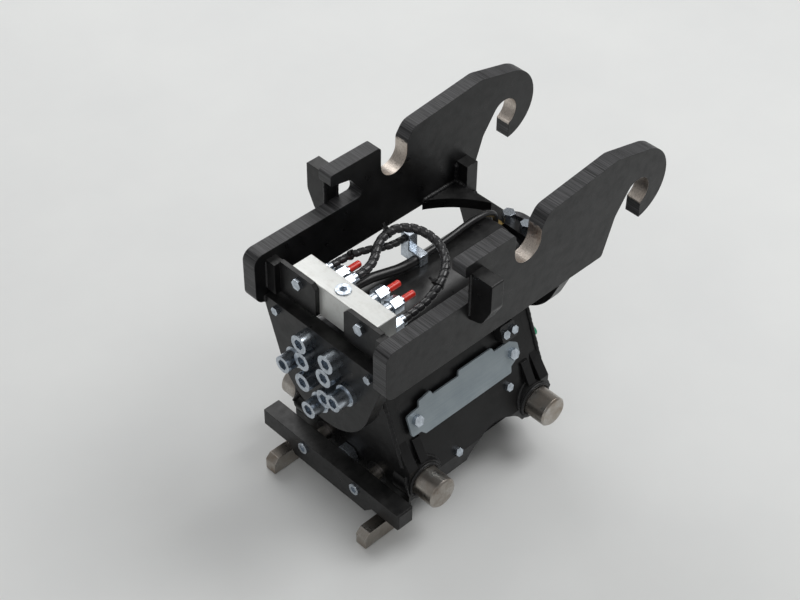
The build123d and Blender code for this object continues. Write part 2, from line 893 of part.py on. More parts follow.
lower_rear_wall = cross_wall(rear_wall_x, belly_half_w, [])
finish(lower_rear_wall, "lower_rear_wall")

with BuildPart() as lower_belly:
    belly_length = wall_rear_x - wall_front_x
    belly_mid_x = (wall_front_x + wall_rear_x) / 2
    with BuildSketch(Plane.XY):
        with Locations((belly_mid_x, 0)):
            RectangleRounded(belly_length, 2 * belly_half_w, 6)
    extrude(amount=belly_t)
    keel_length = belly_length - 2 * cross_t
    with BuildSketch(Plane.XY.offset(belly_t)):
        for side in (-1, 1):
            with Locations((belly_mid_x, side * (belly_half_w - keel_t / 2))):
                Rectangle(keel_length, keel_t)
    extrude(amount=keel_top_z - belly_t)
    with BuildSketch(across(wall_front_x)):
        with Locations((-rod_y, rod_z), (rod_y, rod_z)):
            Circle(guide_d / 2 + 1)
    extrude(amount=guide_length + 1, mode=Mode.SUBTRACT)
finish(lower_belly, "lower_belly")

with BuildPart() as lower_ribs:
    rib_foot_z = pin_z + boss_d / 2 + weld_gap
    rib_edge = [
        (wall_y(rib_top_z) + weld_gap, rib_top_z),
        (wall_y(rib_top_z) + 3, rib_top_z),
        (rib_reach_y, rib_foot_z),
        (wall_y(rib_foot_z) + weld_gap, rib_foot_z),
    ]
    for rib_x in (front_pin_x - 3, rear_pin_x - 9):
        with BuildSketch(across(rib_x)):
            for side in (-1, 1):
                Polygon(*[(side * y, z) for y, z in rib_edge], align=None)
        extrude(amount=rib_t)
finish(lower_ribs, "lower_ribs")

with BuildPart() as support_lugs:
    lug_tip_x = wall_front_x - lug_length
    lug_top_z = lug_bottom_z + lug_h
    for lug_y in (lug_in_y, -lug_in_y - lug_w):
        with BuildSketch(along(lug_y + lug_w)):
            with BuildLine():
                Polyline(
                    (wall_front_x, lug_bottom_z),
                    (lug_tip_x, lug_bottom_z),
                    (lug_tip_x, lug_top_z - lug_bevel),
                    (lug_tip_x + lug_bevel, lug_top_z),
                    (wall_front_x, lug_top_z),
                    close=True,
                )
            make_face()
        extrude(amount=lug_w)
finish(support_lugs, "support_lugs")


def pin_pair(x):
    """A pair of bare steel pins, each with a root in its boss, an undercut and a free end."""
    with BuildPart() as pins:
        for side in (-1, 1):
            for start_y, end_y, radius in (
                (boss_root_y, pin_shoulder_y, pin_root_d / 2),
                (pin_shoulder_y, pin_shoulder_y + pin_undercut_w, pin_d / 2 - pin_undercut),
                (pin_shoulder_y + pin_undercut_w, pin_tip_y, pin_d / 2),
            ):
                with BuildSketch(along(side * end_y)):
                    with Locations((x, pin_z)):
                        Circle(radius)
                extrude(amount=side * (end_y - start_y))
        ends = pins.faces().filter_by(Axis.Y).group_by(Axis.Y)
        chamfer([*ends[0].edges(), *ends[-1].edges()], pin_chamfer)
    return pins


front_pins = pin_pair(front_pin_x)
finish(front_pins, "front_pins")

rear_pins = pin_pair(rear_pin_x)
finish(rear_pins, "rear_pins")

# Locking beam with its cylinder, rods and guide tubes

with BuildPart() as locking_beam:
    beam_end_z = beam_top_z - beam_h
    beam_edge = [
        (beam_half_w, beam_top_z),
        (beam_half_w, beam_end_z),
        (beam_belly_w + beam_belly_h, beam_end_z),
        (beam_belly_w, beam_end_z - beam_belly_h),
    ]
    with BuildSketch(across(beam_front_x)):
        Polygon(*beam_edge, *[(-y, z) for y, z in reversed(beam_edge)], align=None)
        with Locations((-rod_y, rod_z), (rod_y, rod_z)):
            Circle(beam_screw_d / 2 + hole_gap, mode=Mode.SUBTRACT)
    extrude(amount=beam_depth)
    chamfer(locking_beam.faces().filter_by(Axis.Y).edges(), 1.5)
finish(locking_beam, "locking_beam")

with BuildPart() as beam_screws:
    with BuildSketch(across(beam_front_x - beam_screw_head_h)):
        with Locations((-rod_y, rod_z), (rod_y, rod_z)):
            Circle(beam_screw_head_d / 2)
            RegularPolygon(beam_screw_hex / 2, 6, major_radius=False, mode=Mode.SUBTRACT)
    extrude(amount=beam_screw_head_h)
    with BuildSketch(across(beam_front_x)):
        with Locations((-rod_y, rod_z), (rod_y, rod_z)):
            Circle(beam_screw_d / 2)
    extrude(amount=beam_depth)
finish(beam_screws, "beam_screws")

rod_end_x = wall_front_x + guide_length - 4
with BuildPart() as guide_rods:
    with BuildSketch(across(beam_back_x)):
        with Locations((-rod_y, rod_z), (rod_y, rod_z)):
            Circle(rod_d / 2)
    extrude(amount=rod_end_x - beam_back_x)
finish(guide_rods, "guide_rods")

rod_places = [(-rod_y, rod_z), (rod_y, rod_z)]
guide_tubes = turned(
    [(wall_front_x, wall_front_x + guide_length, guide_d / 2)],
    rod_places,
    bore=rod_d / 2 + rod_gap,
)
finish(guide_tubes, "guide_tubes")

lock_nut_x = beam_back_x + nut_t
lock_cylinder = turned(
    [(wall_front_x, wall_front_x + lock_barrel_length, lock_barrel_d / 2)],
    [(0, rod_z)],
    bore=lock_rod_d / 2 + rod_gap,
    bore_end=wall_front_x + lock_barrel_length - barrel_cap_t,
)
finish(lock_cylinder, "lock_cylinder")

with BuildPart() as lock_rod:
    with BuildSketch(across(lock_nut_x)):
        with Locations((0, rod_z)):
            Circle(lock_rod_d / 2)
    extrude(amount=lock_rod_length)
finish(lock_rod, "lock_rod")

with BuildPart() as lock_nut:
    with BuildSketch(across(beam_back_x)):
        with Locations((0, rod_z)):
            RegularPolygon(nut_af / 2, 6, major_radius=False)
    extrude(amount=nut_t)
finish(lock_nut, "lock_nut")

# Side covers with their screws, on the slanted walls


def cover_plane(side):
    """The plane of a cover's back, on the stand-off pads of a slanted wall."""
    return slanted(side, cover_mid_x, cover_mid_z).offset(cover_standoff)


def cover(side):
    """A bare cover plate with its stepped outline; the same plate is turned over for the left side."""
    half_l = cover_length / 2
    half_h = cover_h / 2
    up = -1 if cover_plane(side).y_dir.Z < 0 else 1
    with BuildPart() as piece:
        with BuildSketch(cover_plane(side)):
            with BuildLine():
                FilletPolyline(
                    (-half_l + 14, -up * half_h),
                    (-half_l, -up * half_h),
                    (-half_l, up * (half_h - 6)),
                    (-half_l + 20, up * (half_h - 4)),
                    (-half_l + 22, up * (half_h + 3)),
                    (-half_l + 42, up * (half_h + cover_tab_h)),
                    (-half_l + 44, up * half_h),
                    (-6, up * half_h),
                    (-4, up * (half_h + cover_tab_h)),
                    (52, up * (half_h + cover_tab_h)),
                    (54, up * half_h),
                    (half_l - 12, up * half_h),
                    (half_l, up * (half_h - 8)),
                    (half_l, -up * (half_h - 10)),
                    (half_l - 18, -up * (half_h - 2)),
                    (half_l - 20, -up * (half_h + cover_tab_h)),
                    (-half_l + 20, -up * (half_h + cover_tab_h)),
                    radius=[2, 3, 3, 2, 2, 2, 1, 1, 2, 2, 1, 3, 3, 3, 2, 3, 2],
                    close=True,
                )
            make_face()
            with Locations((-half_l + cover_screw_inset, 0), (half_l - cover_screw_inset, 0)):
                Circle(cover_screw_d / 2 + hole_gap, mode=Mode.SUBTRACT)
        extrude(amount=cover_t)
    return piece


side_cover_left = cover(1)
finish(side_cover_left, "side_cover_left")

side_cover_right = cover(-1)
finish(side_cover_right, "side_cover_right")

with BuildPart() as cover_screws:
    for side in (-1, 1):
        half_l = cover_length / 2 - cover_screw_inset
        with BuildSketch(cover_plane(side).offset(cover_t)):
            with Locations((-half_l, 0), (half_l, 0)):
                RegularPolygon(cover_head_af / 2, 6, major_radius=False)
        extrude(amount=cover_head_h)
        with BuildSketch(cover_plane(side).offset(cover_t)):
            with Locations((-half_l, 0), (half_l, 0)):
                Circle(cover_screw_d / 2)
        extrude(amount=-cover_t - cover_standoff - cover_pad_root + 2)
finish(cover_screws, "cover_screws")

with BuildPart() as side_screws:
    for side in (-1, 1):
        for screw_x, screw_z in side_screw_places:
            with BuildSketch(slanted(side, screw_x, screw_z)):
                RegularPolygon(side_head_af / 2, 6, major_radius=False)
            extrude(amount=side_head_h)
            with BuildSketch(slanted(side, screw_x, screw_z)):
                Circle(side_shank_d / 2)
            extrude(amount=-side_shank_l)
finish(side_screws, "side_screws")

# Hose clamp at the rear of the right wall, and the capped port behind

clamp_place = slanted(-1, clamp_x, clamp_z)
with BuildPart() as hose_clamp:
    with BuildSketch(clamp_place):
        RectangleRounded(clamp_length, clamp_h, 3)
    extrude(amount=clamp_w)
    with BuildSketch(clamp_place.offset(clamp_w)):
        with GridLocations(clamp_bolt_pitch, 0, 2, 1):
            Circle(clamp_bolt_d / 2 + hole_gap)
    extrude(amount=clamp_floor - clamp_w, mode=Mode.SUBTRACT)
finish(hose_clamp, "hose_clamp")

with BuildPart() as clamp_bolts:
    with BuildSketch(clamp_place.offset(clamp_w)):
        with GridLocations(clamp_bolt_pitch, 0, 2, 1):
            RegularPolygon(clamp_bolt_af / 2, 6, major_radius=False)
    extrude(amount=clamp_bolt_h)
    with BuildSketch(clamp_place.offset(clamp_w)):
        with GridLocations(clamp_bolt_pitch, 0, 2, 1):
            Circle(clamp_bolt_d / 2)
    extrude(amount=clamp_floor - clamp_w)
finish(clamp_bolts, "clamp_bolts")

rear_port = turned([(wall_rear_x, wall_rear_x + port_l, port_d / 2)], [(port_y, port_z)])
finish(rear_port, "rear_port")

port_cap_x = wall_rear_x + port_l
port_cap = turned([(port_cap_x, port_cap_x + port_cap_l, port_cap_d / 2)], [(port_y, port_z)])
finish(port_cap, "port_cap")

# Bolts on top of the rear end plate and at the corners of the front one

with BuildPart() as rear_bolts:
    for bolt_y in rear_bolt_ys:
        with BuildSketch(Plane.XY.offset(rear_plate_top_z)):
            with Locations((rear_plate_x + end_plate_t / 2, bolt_y)):
                RegularPolygon(rear_bolt_af / 2, 6, major_radius=False)
        extrude(amount=rear_bolt_h)
finish(rear_bolts, "rear_bolts")

corner_y = inner_y - corner_screw_inset
with BuildPart() as corner_screws:
    with BuildSketch(across(front_plate_x - corner_screw_h)):
        with Locations((-corner_y, corner_screw_z), (corner_y, corner_screw_z)):
            RegularPolygon(corner_screw_af / 2, 6, major_radius=False)
    extrude(amount=corner_screw_h)
finish(corner_screws, "corner_screws")
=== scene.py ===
"""A tilting quick coupler for a small excavator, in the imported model's frame and in metres."""

import math
import random

import bmesh
import bpy
from mathutils import Matrix, Vector
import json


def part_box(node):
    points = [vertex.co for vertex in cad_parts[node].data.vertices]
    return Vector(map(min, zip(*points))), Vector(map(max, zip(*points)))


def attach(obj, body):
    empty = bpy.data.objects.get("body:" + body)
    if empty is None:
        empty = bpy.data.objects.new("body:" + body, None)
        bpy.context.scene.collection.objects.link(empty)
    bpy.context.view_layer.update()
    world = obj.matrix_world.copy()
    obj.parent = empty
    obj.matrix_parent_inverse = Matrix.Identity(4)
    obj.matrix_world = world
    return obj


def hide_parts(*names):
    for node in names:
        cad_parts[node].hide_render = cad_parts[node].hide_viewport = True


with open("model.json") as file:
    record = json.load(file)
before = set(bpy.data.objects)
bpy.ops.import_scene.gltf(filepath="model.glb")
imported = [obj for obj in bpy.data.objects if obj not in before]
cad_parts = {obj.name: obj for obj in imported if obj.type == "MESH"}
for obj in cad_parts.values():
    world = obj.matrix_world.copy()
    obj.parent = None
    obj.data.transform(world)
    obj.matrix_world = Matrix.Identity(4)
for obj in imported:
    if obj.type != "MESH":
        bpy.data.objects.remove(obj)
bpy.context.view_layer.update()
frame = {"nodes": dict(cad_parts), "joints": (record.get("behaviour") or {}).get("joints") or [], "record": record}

MM = 0.001

# Places read from the frame

mounts = {mount["name"]: Vector(mount["pos_m"]) for mount in frame["record"]["mounts"]}
joints = {joint["name"]: joint for joint in frame["joints"]}
seat_at = mounts["arm_pin_seats"]
hook_at = mounts["arm_hooks"]
seat_r = 21 * MM
pin_r = 20 * MM
front_pin = mounts["front_pin_left"]
rear_pin = mounts["rear_pin_left"]
axis_z = 215 * MM


def low(node):
    """The lowest corner of a CAD node."""
    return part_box(node)[0]


def high(node):
    """The highest corner of a CAD node."""
    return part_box(node)[1]


# Camera, at the photograph's angle

camera_at = Vector((-1.1213, -1.0521, 1.6103))
view_dir = Vector((0.5152, 0.5248, -0.6776))
view_right = Vector((0.7194, -0.6946, 0.0091))
lens_mm = 78.64

camera_data = bpy.data.cameras.new("camera")
camera_data.lens = lens_mm
camera_data.sensor_width = 36
camera = bpy.data.objects.new("camera", camera_data)
bpy.context.collection.objects.link(camera)
view_back = -view_dir.normalized()
view_side = (view_right - view_right.dot(view_back) * view_back).normalized()
view_up = view_back.cross(view_side)
camera.matrix_world = Matrix.Translation(camera_at) @ Matrix((view_side, view_up, view_back)).transposed().to_4x4()
bpy.context.scene.camera = camera


# Node helpers


class Shader:
    """A material under construction, with short names for the nodes used here."""

    def __init__(self, name):
        self.material = bpy.data.materials.new(name)
        self.material.use_nodes = True
        self.tree = self.material.node_tree
        self.bsdf = self.tree.nodes["Principled BSDF"]
        coords = self.tree.nodes.new("ShaderNodeTexCoord")
        self.place = coords.outputs["Object"]
        self.normal = coords.outputs["Normal"]

    def node(self, kind, **values):
        made = self.tree.nodes.new(kind)
        for name, value in values.items():
            setattr(made, name, value)
        return made

    def put(self, socket, value):
        if isinstance(value, bpy.types.NodeSocket):
            self.tree.links.new(value, socket)
        else:
            socket.default_value = value

    def math(self, operation, a, b=0.0, clamp=False):
        made = self.node("ShaderNodeMath", operation=operation, use_clamp=clamp)
        self.put(made.inputs[0], a)
        self.put(made.inputs[1], b)
        return made.outputs[0]

    def split(self, vector):
        made = self.node("ShaderNodeSeparateXYZ")
        self.put(made.inputs[0], vector)
        return made.outputs

    def stretch(self, scale):
        made = self.node("ShaderNodeVectorMath", operation="MULTIPLY")
        self.put(made.inputs[0], self.place)
        made.inputs[1].default_value = scale
        return made.outputs[0]

    def noise(self, scale, detail=3.0, rough=0.55, vector=None):
        made = self.node("ShaderNodeTexNoise")
        self.put(made.inputs["Vector"], self.place if vector is None else vector)
        made.inputs["Scale"].default_value = scale
        made.inputs["Detail"].default_value = detail
        made.inputs["Roughness"].default_value = rough
        return made.outputs["Fac"]

    def spread(self, value, low_in, high_in, low_out=0.0, high_out=1.0):
        made = self.node("ShaderNodeMapRange", clamp=True)
        self.put(made.inputs[0], value)
        for slot, number in zip(range(1, 5), (low_in, high_in, low_out, high_out)):
            made.inputs[slot].default_value = number
        return made.outputs[0]

    def mix(self, share, a, b):
        made = self.node("ShaderNodeMix", data_type="RGBA")
        self.put(made.inputs[0], share)
        self.put(made.inputs[6], a)
        self.put(made.inputs[7], b)
        return made.outputs[2]

    def blend(self, share, a, b):
        made = self.node("ShaderNodeMix", data_type="FLOAT")
        self.put(made.inputs[0], share)
        self.put(made.inputs[2], a)
        self.put(made.inputs[3], b)
        return made.outputs[0]

    def bump(self, height, strength, distance, normal=None):
        made = self.node("ShaderNodeBump")
        made.inputs["Strength"].default_value = strength
        made.inputs["Distance"].default_value = distance
        self.put(made.inputs["Height"], height)
        if normal is not None:
            self.put(made.inputs["Normal"], normal)
        return made.outputs[0]

    def rounded(self, radius):
        made = self.node("ShaderNodeBevel", samples=6)
        made.inputs["Radius"].default_value = radius
        return made.outputs[0]

    def far_from(self, centre, axes):
        """Distance from a line through centre, measured along the two named axes."""
        parts = self.split(self.place)
        total = 0.0
        for index in axes:
            gap = self.math("SUBTRACT", parts[index], centre[index])
            total = self.math("ADD", total, self.math("MULTIPLY", gap, gap))
        return self.math("SQRT", total)

    def finish(self, color, metallic, roughness, normal=None):
        self.put(self.bsdf.inputs["Base Color"], color)
        self.put(self.bsdf.inputs["Metallic"], metallic)
        self.put(self.bsdf.inputs["Roughness"], roughness)
        if normal is not None:
            self.put(self.bsdf.inputs["Normal"], normal)
        return self.material


def grey(value, blue=1.0):
    """An opaque grey, a little towards blue above 1."""
    return (value, value, value * blue, 1.0)


# Materials


def painted(name, dark=0.004, pale=0.009, edge=0.0008, seats=False):
    """Black satin paint with a fine orange peel, and a painted sheen of the overhead light, lighter and mottled,
    where it faces up.
    """
    s = Shader(name)
    blotch = s.spread(s.noise(22, 5), 0.4, 0.68)
    facing = s.split(s.normal)
    # Painted sheen: faces that point up are drawn a lighter, mottled grey, standing in for the overhead light on
    # them.
    up = s.spread(facing[2], 0.5, 0.95)
    painted_top_sheen = s.math("MULTIPLY", up, s.spread(s.noise(70, 6, 0.7), 0.42, 0.7, 0.12, 0.7))
    color = s.mix(blotch, grey(dark, 1.08), grey(pale, 1.06))
    color = s.mix(painted_top_sheen, color, (0.035, 0.035, 0.034, 1))
    rough = s.spread(s.noise(90, 4), 0.3, 0.7, 0.27, 0.44)
    peel = s.bump(s.noise(620, 2), 0.16, 0.0004, s.rounded(edge))
    normal = s.bump(s.noise(48, 2), 0.12, 0.002, peel)
    metal = 0.0
    if seats:
        flat = s.math("ABSOLUTE", facing[1])
        cut = s.spread(flat, 0.35, 0.6, 1, 0)
        streak = s.noise(1, 3, 0.6, s.stretch((820, 14, 820)))
        # Painted sheen on the cut faces: they are drawn lighter grey than the paint, with real streaks of the cut
        # grain running through it.
        cut_grain_and_sheen = s.mix(s.spread(streak, 0.34, 0.66), grey(0.012, 1.05), grey(0.075, 1.04))
        color = s.mix(cut, color, cut_grain_and_sheen)
        rough = s.blend(cut, rough, s.spread(streak, 0.3, 0.7, 0.34, 0.5))
        groove = s.bump(s.math("MULTIPLY", streak, cut), 0.5, 0.0007, normal)
        worn = None
        for centre, reach in ((seat_at, 0.0035), (hook_at, 0.0022)):
            gap = s.far_from(centre, (0, 2))
            ragged = s.math("ADD", gap, s.spread(s.noise(240, 3), 0.2, 0.8, -0.0016, 0.0016))
            near = s.spread(ragged, seat_r + reach * 0.6, seat_r + reach, 1, 0)
            worn = near if worn is None else s.math("MAXIMUM", worn, near)
        worn = s.math("MULTIPLY", worn, cut)
        scratch = s.noise(1, 4, 0.6, s.stretch((260, 2200, 260)))
        bare = s.mix(s.spread(scratch, 0.3, 0.7), (0.36, 0.31, 0.27, 1), (0.72, 0.66, 0.6, 1))
        color = s.mix(worn, color, bare)
        rough = s.blend(worn, rough, s.spread(scratch, 0.3, 0.7, 0.24, 0.42))
        metal = worn
        normal = groove
    s.bsdf.inputs["Specular IOR Level"].default_value = 0.32
    return s.finish(color, metal, rough, normal)


def turned_steel(name, centre, axes, warm=0.0):
    """Bare turned steel with lathe rings about an axis, smeared and scratched."""
    s = Shader(name)
    across = [index for index in (0, 1, 2) if index not in axes][0]
    parts = s.split(s.place)
    rings = s.noise(1, 2, 0.5, s.stretch(tuple(2600 if i == across else 3 for i in range(3))))
    radial = s.node("ShaderNodeCombineXYZ")
    s.put(radial.inputs[0], s.math("MULTIPLY", s.far_from(centre, axes), 1800))
    faces = s.noise(1, 2, 0.5, radial.outputs[0])
    flat = s.spread(s.math("ABSOLUTE", s.split(s.normal)[across]), 0.5, 0.8)
    lathe = s.blend(flat, rings, faces)
    smear = s.spread(s.noise(55, 5, 0.65), 0.38, 0.66)
    cool = (0.5, 0.47, 0.43, 1)
    brown = (0.26 + warm, 0.21 + warm * 0.7, 0.165 + warm * 0.4, 1)
    tone = s.math("MULTIPLY", smear, s.blend(flat, 0.55, 0.95))
    color = s.mix(tone, cool, brown)
    color = s.mix(s.spread(lathe, 0.3, 0.7, 0, 0.35), color, grey(0.2))
    rough = s.math("ADD", s.spread(smear, 0, 1, 0.2, 0.36), s.spread(lathe, 0.3, 0.7, 0, 0.1))
    normal = s.bump(lathe, 0.18, 0.0002, s.rounded(0.0009))
    s.bsdf.inputs["Anisotropic"].default_value = 0.35
    return s.finish(color, 1.0, rough, normal)


def zinc(name, tint=(0.62, 0.68, 0.75), rough=(0.2, 0.38), edge=0.0005):
    """Bright zinc plate, a little blue, with cloudy patches."""
    s = Shader(name)
    cloud = s.spread(s.noise(170, 4, 0.6), 0.32, 0.7)
    dull = tuple(channel * 0.62 for channel in tint)
    color = s.mix(cloud, (*tint, 1), (*dull, 1))
    fine = s.noise(900, 2)
    normal = s.bump(fine, 0.1, 0.0002, s.rounded(edge))
    return s.finish(color, 1.0, s.spread(cloud, 0, 1, *rough), normal)


def machined_block(name):
    """Bright milled aluminium, with fine cutter lines and a few dull spots."""
    s = Shader(name)
    lines = s.noise(1, 3, 0.55, s.stretch((1500, 22, 30)))
    spots = s.spread(s.noise(85, 5, 0.7), 0.5, 0.72)
    color = s.mix(s.spread(lines, 0.3, 0.7, 0, 0.3), (0.68, 0.69, 0.67, 1), (0.55, 0.56, 0.55, 1))
    color = s.mix(s.math("MULTIPLY", spots, 0.5), color, (0.5, 0.49, 0.46, 1))
    rough = s.spread(lines, 0.3, 0.7, 0.34, 0.48)
    return s.finish(color, 0.55, rough, s.bump(lines, 0.12, 0.0002, s.rounded(0.0006)))


def moulded(name, color, rough=0.3, bump_scale=420):
    """Moulded plastic or rubber with a soft skin."""
    s = Shader(name)
    tone = s.spread(s.noise(120, 3), 0.3, 0.7)
    dull = tuple(channel * 0.72 for channel in color)
    normal = s.bump(s.noise(bump_scale, 2), 0.12, 0.0003, s.rounded(0.0005))
    return s.finish(s.mix(tone, (*color, 1), (*dull, 1)), 0.0, s.spread(tone, 0, 1, rough, rough + 0.1), normal)


def cover_sheet(name):
    """A pale blue-grey anodised sheet, blank, brushed along its length."""
    s = Shader(name)
    brushed = s.noise(1, 3, 0.6, s.stretch((12, 900, 900)))
    haze = s.spread(s.noise(26, 4), 0.35, 0.7)
    color = s.mix(haze, (0.31, 0.36, 0.39, 1), (0.24, 0.29, 0.32, 1))
    color = s.mix(s.spread(brushed, 0.35, 0.65, 0, 0.2), color, (0.46, 0.5, 0.52, 1))
    return s.finish(color, 0.25, s.spread(brushed, 0.3, 0.7, 0.3, 0.42), s.bump(brushed, 0.08, 0.0002, s.rounded(0.0008)))


black_paint = painted("black paint")
plate_paint = painted("cut plate paint", seats=True)
housing_paint = painted("housing paint", 0.005, 0.011, 0.0012)
weld_paint = painted("weld paint", 0.006, 0.016, 0.0002)
front_pin_steel = turned_steel("front pin steel", front_pin, (0, 2))
rear_pin_steel = turned_steel("rear pin steel", rear_pin, (0, 2), 0.05)
bar_steel = turned_steel("bar steel", Vector((0, 0, 0)), (1, 2), 0.03)
dark_steel = zinc("dark steel", (0.16, 0.16, 0.17), (0.3, 0.45))
bright_zinc = zinc("bright zinc")
brass = zinc("brass", (0.72, 0.52, 0.2))
milled = machined_block("milled aluminium")
red_plastic = moulded("red plastic", (0.78, 0.035, 0.02), 0.25)
green_plastic = moulded("green plastic", (0.03, 0.5, 0.25), 0.3)
clamp_plastic = moulded("clamp plastic", (0.02, 0.02, 0.021), 0.3)
hose_rubber = moulded("hose rubber", (0.017, 0.017, 0.018), 0.3)
wrap_plastic = moulded("wrap plastic", (0.03, 0.03, 0.032), 0.22, 260)
tie_plastic = moulded("tie plastic", (0.02, 0.02, 0.021), 0.26)
pale_sheet = cover_sheet("pale sheet")

slot_material = {
    "black_paint": black_paint,
    "black_housing": housing_paint,
    "bare_pin": bar_steel,
    "dark_steel": dark_steel,
    "zinc": bright_zinc,
    "aluminium_block": milled,
    "red_cap": red_plastic,
    "green_cap": green_plastic,
    "hose_black": hose_rubber,
    "brass_fitting": brass,
    "pale_cover": pale_sheet,
    "clamp_black": clamp_plastic,
}
node_material = {
    "side_plate_left": plate_paint,
    "side_plate_right": plate_paint,
    "front_pins": front_pin_steel,
    "rear_pins": rear_pin_steel,
}
for entry in frame["record"]["subparts"]:
    material = node_material.get(entry["node"], slot_material[entry["material_slot"]])
    mesh = frame["nodes"][entry["node"]].data
    mesh.materials.clear()
    mesh.materials.append(material)


# Mesh helpers


def add_piece(name, mesh, material, body):
    """Links a finished mesh, gives it its material and lets it ride on a body."""
    mesh.materials.append(material)
    for face in mesh.polygons:
        face.use_smooth = True
    piece = bpy.data.objects.new(name, mesh)
    bpy.context.collection.objects.link(piece)
    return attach(piece, body)


def resample(points, step):
    """Points a fixed step apart along a line of points."""
    points = [Vector(point) for point in points]
    out = [points[0].copy()]
    left = step
    for start, end in zip(points, points[1:]):
        run = (end - start).length
        along = left
        while along <= run:
            out.append(start.lerp(end, along / run))
            along += step
        left = along - run
    if (out[-1] - points[-1]).length > step * 0.3:
        out.append(points[-1].copy())
    return out


def sweep_tube(mesh_into, path, radius_at, sides, closed=False):
    """Adds a tube along path to a bmesh; radius_at(distance, angle) gives its radius."""
    count = len(path)
    tangents = []
    for index in range(count):
        before = path[(index - 1) % count if closed else max(index - 1, 0)]
        after = path[(index + 1) % count if closed else min(index + 1, count - 1)]
        tangents.append((after - before).normalized())
    start_axis = Vector((0, 0, 1)) if abs(tangents[0].z) < 0.9 else Vector((1, 0, 0))
    normal = (start_axis - start_axis.dot(tangents[0]) * tangents[0]).normalized()
    rings = []
    distance = 0.0
    for index, (point, tangent) in enumerate(zip(path, tangents)):
        if index:
            distance += (point - path[index - 1]).length
            normal = (normal - normal.dot(tangent) * tangent).normalized()
        side = tangent.cross(normal)
        ring = []
        for turn in range(sides):
            angle = 2 * math.pi * turn / sides
            reach = radius_at(distance, angle)
            ring.append(mesh_into.verts.new(point + (math.cos(angle) * normal + math.sin(angle) * side) * reach))
        rings.append(ring)
    spans = count if closed else count - 1
    for index in range(spans):
        one, two = rings[index], rings[(index + 1) % count]
        for turn in range(sides):
            other = (turn + 1) % sides
            mesh_into.faces.new((one[turn], one[other], two[other], two[turn]))
    if not closed:
        mesh_into.faces.new(list(reversed(rings[0])))
        mesh_into.faces.new(rings[-1])


# Hoses: a core with a spiral wrap, along the same routes as the solids


def centreline(name, route):
    """Points along the smooth spline through a hose's route, in metres."""
    data = bpy.data.curves.new(name + "_line", "CURVE")
    data.dimensions = "3D"
    spline = data.splines.new("NURBS")
    spline.points.add(len(route) - 1)
    for point, place in zip(spline.points, route):
        point.co = (*[value * MM for value in place], 1)
    spline.use_endpoint_u = True
    spline.order_u = 3
    spline.resolution_u = 24
    holder = bpy.data.objects.new(name + "_line", data)
    mesh = bpy.data.meshes.new_from_object(holder)
    line = [vertex.co.copy() for vertex in mesh.vertices]
    bpy.data.objects.remove(holder)
    bpy.data.curves.remove(data)
    bpy.data.meshes.remove(mesh)
    return line


def line_length(points):
    return sum((b - a).length for a, b in zip(points, points[1:]))


def hose(name, route, diameter, material, node, pitch=None):
    """A smooth hose, or one in spiral wrap of the given pitch; it stands for the plain solid."""
    line = centreline(name, route)
    path = resample(line, 0.6 * MM)
    gap_share = 0.14
    depth = 0.9 * MM
    swell = 0.25 * MM

    def radius_at(distance, angle):
        if pitch is None:
            return diameter / 2
        turn = (distance / pitch - angle / (2 * math.pi)) % 1.0
        edge = min(turn, 1 - turn)
        groove = max(0.0, 1 - edge / gap_share) ** 0.6
        return diameter / 2 - swell - depth * groove + swell * math.sin(math.pi * turn)

    build = bmesh.new()
    sweep_tube(build, path, radius_at, 28)
    mesh = bpy.data.meshes.new(name)
    build.to_mesh(mesh)
    build.free()
    piece = add_piece(name, mesh, material, "tilt_head")
    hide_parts(node)
    return line


fitting_end_x = high("hose_fittings").x / MM
loop_middle = (16, 310)
loop_right = (-61, 298)
loop_route = [
    (fitting_end_x, *loop_middle),
    (fitting_end_x + 18, *loop_middle),
    (fitting_end_x + 36, 23, 311),
    (fitting_end_x + 54, 37, 315),
    (fitting_end_x + 76, 40, 320),
    (fitting_end_x + 95, 28, 321),
    (fitting_end_x + 104, 7, 319),
    (fitting_end_x + 102, -18, 316),
    (fitting_end_x + 88, -40, 313),
    (fitting_end_x + 64, -55, 308),
    (fitting_end_x + 32, *loop_right),
    (fitting_end_x, *loop_right),
]
loop_line = hose("wrapped_loop_hose", loop_route, 11 * MM, wrap_plastic, "loop_hose", pitch=10.5 * MM)

branch_route = [
    (fitting_end_x, 57, 300),
    (fitting_end_x + 24, 57, 300),
    (fitting_end_x + 48, 47, 303),
    (fitting_end_x + 71, 32, 303),
    (fitting_end_x + 92, 32, 303),
]
branch_line = hose("wrapped_branch_hose", branch_route, 9 * MM, wrap_plastic, "branch_hose", pitch=9.5 * MM)

feed_route = [
    (fitting_end_x, 24, 287),
    (fitting_end_x + 23, 24, 287),
    (fitting_end_x + 48, 20, 283),
    (fitting_end_x + 72, 14, 281),
    (fitting_end_x + 92, 14, 281),
]
feed_line = hose("smooth_feed_hose", feed_route, 12 * MM, hose_rubber, "feed_hose")

tube_start_x = high("feed_manifold").x / MM
tube_end_x = (low("feed_elbow").x + high("feed_elbow").x) / 2 / MM
tube_route = [
    (tube_start_x, 14, 281),
    (tube_start_x + 20, 14, 281),
    (tube_start_x + 46, 16, 280),
    (tube_start_x + 72, 19, 279.5),
    (tube_start_x + 94, 20, 278.5),
    (tube_end_x - 13, 20, 275),
    (tube_end_x, 20, 265),
    (tube_end_x, 20, 250),
]
hose("smooth_feed_tube", tube_route, 8 * MM, hose_rubber, "feed_tube")


# Cable ties on the hoses: a flat band, a square head and a short tail


